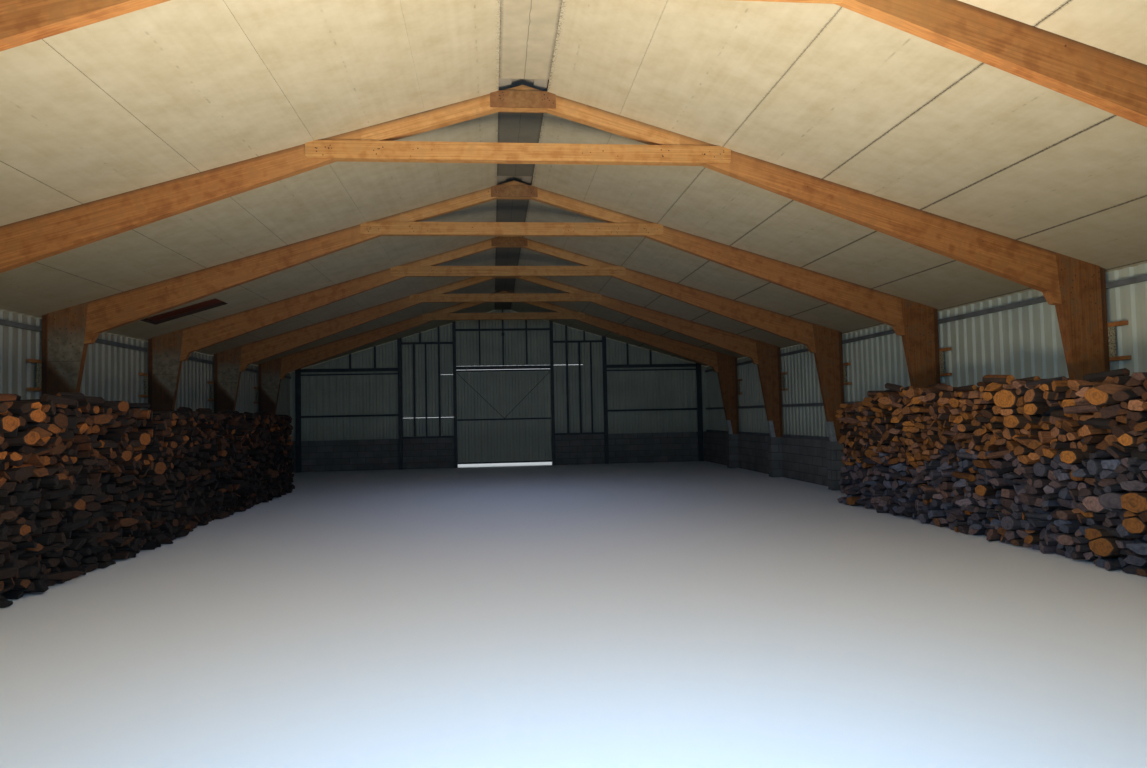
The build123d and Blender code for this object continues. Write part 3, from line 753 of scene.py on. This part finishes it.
def stackLogs(name, side, sections, materials, look):
    # side: +1 for the right stack. sections: start, end and face along the barn, and which ends show
    rng = random.Random(look["seed"])
    store = {key: [] for key in ("points", "faces", "kinds", "grain", "tone", "age")}

    def topAt(y):  # height of the top course, between the measured points on each side of y
        for (a, p), (b, q) in zip(look["tops"], look["tops"][1:]):
            if y <= b:
                break
        return p + (q - p) * (y - a) / (b - a)

    def logLook(y, z):
        old = z < look["changeAt"](y) + rng.uniform(-0.14, 0.14) and rng.random() > look["freshLow"](y)
        age = min(1, max(0, rng.gauss(look["oldLow"] if old else look["oldHigh"], 0.17)))
        tone = rng.gauss(look["tone"](y, old), look["spread"])
        if rng.random() < look["bright"](y, old):
            tone = rng.uniform(0, 0.2)
        return min(0.97, max(0, tone)), age

    for first, last, face, ends in sections:
        lying = lyingLogs(rng, first, last, topAt, look)
        for y, z, long, tall, proud in lying:
            outline = roughRing(rng, rng.choice((5, 6, 8)), 0.4, tall * 0.62, (0.85, 1.1))
            turn, lift = math.radians(rng.gauss(0, 7)), math.radians(rng.gauss(0, 4))
            spin = Matrix.Rotation(turn, 3, "Z") @ Matrix.Rotation(lift, 3, "X")
            axes = [spin @ Vector(axis) for axis in ((1, 0, 0), (0, 0, 1), (0, 1, 0))]
            origin = Vector((side * (face + proud + tall * 0.7), y, z))
            bark = None if rng.random() < 0.35 else rng.uniform(*firewood["turns"])
            addLog(store, rng, origin, axes, outline, long, (0, 0), bark, logLook(y, z))
        for y, z, isRound, darkness, outline in scatterLogs(rng, first, last, topAt, look["marked"]):
            proud = rng.uniform(0, firewood["proud"])
            if any(-0.03 < y - a < long + 0.03 and abs(z - b) < tall * 0.6 for a, b, long, tall, p in lying):
                proud += firewood["pushBack"]
            if darkness is not None:
                proud = 0
            atEnd = (ends[0] and y < first + 0.13) or (ends[1] and y > last - 0.13)
            for layer in range(look["layers"] if atEnd or z > firewood["top"] - 0.2 else 1):
                x = face + proud + layer * firewood["layer"]
                clear = legThick / 2 + (0.14 if z < wallTop else 0.08)
                room = firewood["legClear" if any(abs(y - row) < clear for row in rows) else "wallClear"] - x
                reach = min(rng.uniform(*firewood["length"]), room)
                if reach < 0.1:
                    continue
                yaw = math.tan(math.radians(rng.gauss(0, firewood["yaw"])))
                drop = math.tan(math.radians(rng.gauss(0, 3)))
                if not first + 0.1 < y < last - 0.1:
                    yaw = 0
                inward = Vector((side, yaw, drop if 0.2 < z < firewood["top"] - 0.15 else 0))
                axes = (Vector((0, -side, 0)), Vector((0, 0, 1)), inward)
                shown = outline if side < 0 else [(-u, v) for u, v in reversed(outline)]
                slants = [math.tan(math.radians(rng.gauss(0, firewood["slant"]))) for k in (0, 1)]
                bark = None if isRound else rng.uniform(*firewood["turns"])
                shade = logLook(y, z)
                if darkness is not None:  # turned a little towards the front doorway
                    shade = (darkness, 0.0)
                    slants = [side * firewood["turned"], 0]
                addLog(store, rng, Vector((side * x, y, z)), axes, shown, reach, slants, bark, shade)
        # a core, drawn nearly black as painted shade in the gaps between the logs, so that no daylight
        # shows between them
        inner = sorted((side * (face + firewood["core"]), side * firewood["legClear"]))
        coreTop = firewood["top"] - 0.26
        points, faces = boxPart((inner[0], first + 0.25, 0.01), (inner[1], last - 0.25, coreTop))
        points = [Vector(point) for point in points]
        addPart(store, points, faces, [0] * len(faces), [(0, 0, 0)] * len(points), 0.95, 0.9)
    piece = newPiece(name, store["points"], store["faces"], materials, "barn", "firewood", store["kinds"])
    attributes = piece.data.attributes
    for key in ("tone", "age"):
        attributes.new(key, "FLOAT", "POINT").data.foreach_set("value", store[key])
    flat = [value for row in store["grain"] for value in row]
    attributes.new("grain", "FLOAT_VECTOR", "POINT").data.foreach_set("vector", flat)
    print(name, len(store["faces"]), "faces")
    return piece


# The looks of the two stacks. marked: place, height, radius and darkness of the ends that stand out. tops:
# place and height of the top course. changeAt: the height under which the logs are old. freshLow: share
# of new ones there. tone: darkness from 0 to 1, spread by spread. bright: share of pale ends
rightLow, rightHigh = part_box("right_log_stack")
rightLook = {
    "seed": 11, "layers": 2, "topLogs": 0.8, "limit": rightHigh.z,
    "oldLow": 0.82, "oldHigh": 0.1, "spread": 0.19,
    "marked": [
        (-4.94, 1.69, 0.115, 0.0), (-4.64, 1.73, 0.06, 0.15), (-5.37, 1.57, 0.07, 0.1),
        (-5.04, 1.43, 0.08, 0.2), (-5.9, 1.07, 0.075, 0.1), (-6.32, 1.69, 0.095, 0.25),
        (-6.65, 1.27, 0.06, 0.15), (-6.71, 0.69, 0.1, 0.55), (-6.29, 0.22, 0.095, 0.5),
        (-6.69, 0.48, 0.08, 0.5), (-6.19, 0.32, 0.07, 0.55), (-4.43, 0.59, 0.07, 0.35)],
    "tops": [(-9.1, 1.86), (-6.7, 1.9), (-6.2, 1.84), (-5.3, 1.85), (-4.9, 1.92), (-4.4, 1.84), (-3.8, 1.82),
             (-3.0, 1.88), (-2.0, 1.84), (-0.8, 1.72), (-0.4, 1.7)],
    "changeAt": lambda y: 0.69 + (rightHigh.y - y) * 0.085,
    "freshLow": lambda y: 0.16 if y < -6.3 else 0.07,
    "tone": lambda y, old: (0.46 if old else 0.36) + (0.14 if old else 0.42) * min(1, max(0, -5.4 - y)),
    "bright": lambda y, old: 0.08,
}
rightLogs = stackLogs("right_firewood", 1, [
    (rightLow.y, rightHigh.y, rightLow.x, (True, True))], rightOak, rightLook)
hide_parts("right_log_stack")

leftLow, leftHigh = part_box("left_log_stack")
leftStep, leftFarFace = -1.6, 4.85  # from the step on, the left stack's face stands farther out
leftLook = {
    "seed": 23, "layers": 3, "topLogs": 0.7, "limit": leftHigh.z,
    "oldLow": 0.85, "oldHigh": 0.08, "spread": 0.24,
    "marked": [
        (-5.44, 1.71, 0.07, 0.15), (-3.13, 1.42, 0.085, 0.35), (-3.62, 1.24, 0.07, 0.55),
        (-2.68, 1.03, 0.09, 0.6), (-3.7, 1.82, 0.07, 0.55), (-5.53, 1.5, 0.07, 0.35),
        (-5.86, 1.64, 0.08, 0.3), (-5.63, 0.65, 0.055, 0.65), (-4.67, 0.78, 0.06, 0.65)],
    "tops": [(-9.1, 1.82), (-5.3, 1.84), (-4.6, 1.9), (-4.2, 1.83), (-3.2, 1.82), (-2.3, 1.77), (-1.2, 1.79),
             (0.3, 1.75), (5.0, 1.73)],
    "changeAt": lambda y: 1.05,
    "freshLow": lambda y: 0.04,
    # painted shade: the left stack is darker beyond y = -2 and has pale ends only near the front
    "tone": lambda y, old: 0.88 if old else (0.84 if y < -2 else 0.92),
    "bright": lambda y, old: 0.01 if old or y > -4 else 0.1,
}
leftLogs = stackLogs("left_firewood", -1, [
    (leftLow.y, leftStep, -leftHigh.x, (True, True)),
    (leftStep, leftHigh.y, leftFarFace, (False, True))], leftOak, leftLook)
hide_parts("left_log_stack")
print("firewood done")


# Small fixings, in metres: nail heads on the collars and gussets, stub cleats with torn packing between
# them beside each leg, the rear door's latch and the box on the middle stud. nailRows: distance from the
# collar's end, spread and number. latch: left, right, low and high
fixings = {
    "nail": 0.007, "head": 0.002, "nailRows": ((0.2, 0.13, 9), (0.75, 0.06, 5), (1.25, 0.4, 4)),
    "collarTall": 0.19, "gusset": (0.19, 0.33), "gussetNails": 7,
    "cleatDepth": 0.06, "cleatReach": 0.24, "cleats": ((2.49, 2.54), (2.1, 2.145)), "bevel": 0.004,
    "latch": (1.545, 1.6, 1.78, 1.88), "boxHalf": 0.045, "boxHeights": (4.22, 4.33),
}


def nailHead(x, z, frontY, radius):
    corners = 7
    points, faces = [(x, frontY - fixings["head"], z)], []
    for reach, out in ((0.75, fixings["head"] * 0.8), (1.0, 0.0)):
        for i in range(corners):
            turn = i * 2 * math.pi / corners
            across, up = math.cos(turn) * radius * reach, math.sin(turn) * radius * reach
            points.append((x + across, frontY - out, z + up))
    for i in range(corners):
        j = (i + 1) % corners
        faces.append((0, 1 + i, 1 + j))
        faces.append((1 + i, 1 + corners + i, 1 + corners + j, 1 + j))
    faces.append(tuple(1 + corners + i for i in reversed(range(corners))))
    return points, faces


def bevelledPiece(name, parts, material, slot):
    piece = newPiece(name, *joinParts(parts), [material], "barn", slot)
    edges = piece.modifiers.new("worn edges", "BEVEL")
    edges.width = fixings["bevel"]
    edges.segments = 2
    keepShape(piece)


rng = random.Random(5)
nails = []


def addNail(x, z, frontY):
    nails.append(nailHead(x, z, frontY, fixings["nail"] * rng.uniform(0.7, 1.1)))


for i in range(rowCount):
    low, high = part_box(f"portal_{i}_collar")
    for side in (-1, 1):
        for reach, spread, count in fixings["nailRows"]:
            for k in range(count):
                x = side * (high.x - reach + rng.uniform(-spread, spread))
                z = low.z + rng.uniform(0.03, fixings["collarTall"] - 0.05)
                if abs(x) < high.x - 0.03 and z < roofZ(x) - 0.03:
                    addNail(x, z, low.y)
        for k in range(fixings["gussetNails"]):
            x = side * rng.uniform(*fixings["gusset"])
            addNail(x, roofZ(x) - rng.uniform(0.03, 0.13), low.y)
rustyNails = primedSteel("rusty nail heads", "#2B201B", "#3C2A20", "#5A3A26")
newPiece("nail_heads", *joinParts(nails), [rustyNails], "barn", "dark_steel")


def tornPacking(side, frontY, low, high):
    # a lumpy sheet that bulges out between two cleats
    across, tall = 5, 14
    back = side * (legHigh.x + 0.002)
    points, faces = [], []
    for j in range(tall + 1):
        for i in range(across + 1):
            edge = i in (0, across) or j in (0, tall)
            x = side * (legHigh.x + 0.002 + (0.012 if edge else rng.uniform(0.02, 0.05)))
            y = frontY - 0.07 + 0.12 * i / across + (0 if edge else rng.uniform(-0.008, 0.008))
            z = low + (high - low) * j / tall + (0 if edge else rng.uniform(-0.006, 0.006))
            points.append((x, y, z))
    count, line = len(points), across + 1
    points += [(back, y, z) for x, y, z in points]
    for j in range(tall):
        for i in range(across):
            a = j * line + i
            faces.append((a, a + 1, a + line + 1, a + line))
            faces.append((count + a, count + a + line, count + a + line + 1, count + a + 1))
    rim = [i for i in range(across)] + [j * line + across for j in range(tall)]
    rim += [tall * line + i for i in range(across, 0, -1)] + [j * line for j in range(tall, 0, -1)]
    for a, b in zip(rim, rim[1:] + rim[:1]):
        faces.append((b, a, count + a, count + b))
    return points, faces


cleats, packing = [], []
for y in rows:
    frontY = y - legThick / 2
    for side in (-1, 1):
        for low, high in fixings["cleats"]:
            reach = fixings["cleatReach"] * rng.uniform(0.8, 1.0)
            x = sorted((side * (legHigh.x + 0.001), side * (legHigh.x + fixings["cleatDepth"])))
            cleats.append(boxPart((x[0], frontY - reach, low), (x[1], frontY + 0.04, high)))
        packing.append(tornPacking(side, frontY, fixings["cleats"][1][1], fixings["cleats"][0][0]))
bevelledPiece("leg_cleats", cleats, rafterTimber, "weathered_timber")


def woodWool():
    # wood wool packing: torn, pale, full of dust, so it looks mottled
    material, add = newMaterial("torn wood wool", roughness=0.95)
    place = add("TexCoord").outputs["Object"]
    tufts = add("TexNoise", [place, None, perMetre(18), 3.0, 0.7])
    mottled = add("ValToRGB", [tufts], stops=[(0.35, "#3B3324"), (0.62, "#B9AE8C")])
    return finishMaterial(material, mottled, tufts, 0.8, 0.01)


newPiece("leg_packing", *joinParts(packing), [woodWool()], "barn", "roof_board")
left, right, low, high = fixings["latch"]
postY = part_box("rear_gable_posts")[0].y
bevelledPiece("door_latch", [
    boxPart((left, postY + 0.02, low), (right, postY + 0.05, high)),
    boxPart((left - 0.04, postY + 0.03, low + 0.04), (left + 0.01, postY + 0.045, low + 0.06)),
], gablePrimer, "dark_steel")
half, (low, high) = fixings["boxHalf"], fixings["boxHeights"]
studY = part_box("rear_gable_studs")[0].y
bevelledPiece("stud_box", [boxPart((-half, studY - 0.05, low), (half, studY - 0.001, high))], gablePrimer,
              "dark_steel")
print("fixings done")


# Floor, backdrop light and camera
def plainFloor(reach=150):
    material, add = newMaterial("plain pale floor", roughness=0.9)
    # paler to the camera than to the rest, so that the floor looks white without lighting the barn
    seen = add("LightPath").outputs
    mirrored = add("Math", [seen["Is Glossy Ray"], seen["Is Transmission Ray"]], operation="MAXIMUM")
    shown = add("Math", [seen["Is Camera Ray"], mirrored], operation="MAXIMUM")
    finishMaterial(material, add("MixRGB", [shown, "#B8BCC0", "#F0F3F6"]))
    mesh = bpy.data.meshes.new("floor")
    corners = [(-reach, -reach, 0), (reach, -reach, 0), (reach, reach, 0), (-reach, reach, 0)]
    mesh.from_pydata(corners, [], [(0, 1, 2, 3)])
    mesh.materials.append(material)
    floor = bpy.data.objects.new("floor", mesh)
    floor.location.z = -0.002
    scene.collection.objects.link(floor)


plainFloor()

world = bpy.data.worlds.new("plain daylight")
scene.world = world
world.use_nodes = True
background = world.node_tree.nodes["Background"]
background.inputs["Color"].default_value = toLinear("#EEF3F8")
background.inputs["Strength"].default_value = 0.9


def areaLamp(name, place, aim, size, power, colour):
    data = bpy.data.lights.new(name, "AREA")
    data.shape = "RECTANGLE"
    data.size, data.size_y = size
    data.energy = power
    data.color = toLinear(colour)[:3]
    lamp = bpy.data.objects.new(name, data)
    lamp.location = place
    lamp.rotation_euler = (Vector(aim) - Vector(place)).to_track_quat("-Z", "Y").to_euler()
    lamp.visible_camera = False
    data.cycles.use_multiple_importance_sampling = False
    scene.collection.objects.link(lamp)


areaLamp("warm bounced daylight", (0, -9.9, 0.05), (0, -9.9, 3), (3, 3), 450, "#FFEDD1")
areaLamp("cool sky light through the doorway", (0, -11.7, 2.5), (0, -6.5, 0), (3, 1.3), 165, "#98CEFF")
areaLamp("soft fill along the hall", (0, -0.8, 4.1), (0, -0.8, 0), (3, 11), 60, "#B6CCFF")
scene.cycles.use_light_tree = False  # three lamps are quicker without it

viewpoint = {
    "place": (-0.382, -13.368, 1.608), "yaw": 5.985, "rise": 2.292,  # metres and degrees
    "roll": -0.021, "focal": 777.9, "width": 1147, "sensor": 36,  # radians, pixels, millimetres
}


def photoCamera():
    yaw, rise = math.radians(viewpoint["yaw"]), math.radians(viewpoint["rise"])
    ahead = Vector((math.sin(yaw) * math.cos(rise), math.cos(yaw) * math.cos(rise), math.sin(rise)))
    level = Vector((math.cos(yaw), -math.sin(yaw), 0))
    above = level.cross(ahead)
    roll = viewpoint["roll"]
    right = level * math.cos(roll) + above * math.sin(roll)
    up = above * math.cos(roll) - level * math.sin(roll)
    data = bpy.data.cameras.new("photo viewpoint")
    data.sensor_width = viewpoint["sensor"]
    data.lens = viewpoint["focal"] / viewpoint["width"] * viewpoint["sensor"]
    camera = bpy.data.objects.new("photo viewpoint", data)
    camera.matrix_world = Matrix((right, up, -ahead)).transposed().to_4x4()
    camera.location = viewpoint["place"]
    scene.collection.objects.link(camera)
    scene.camera = camera


photoCamera()
scene.view_settings.view_transform = "Standard"
print("stage, lamps and camera done")
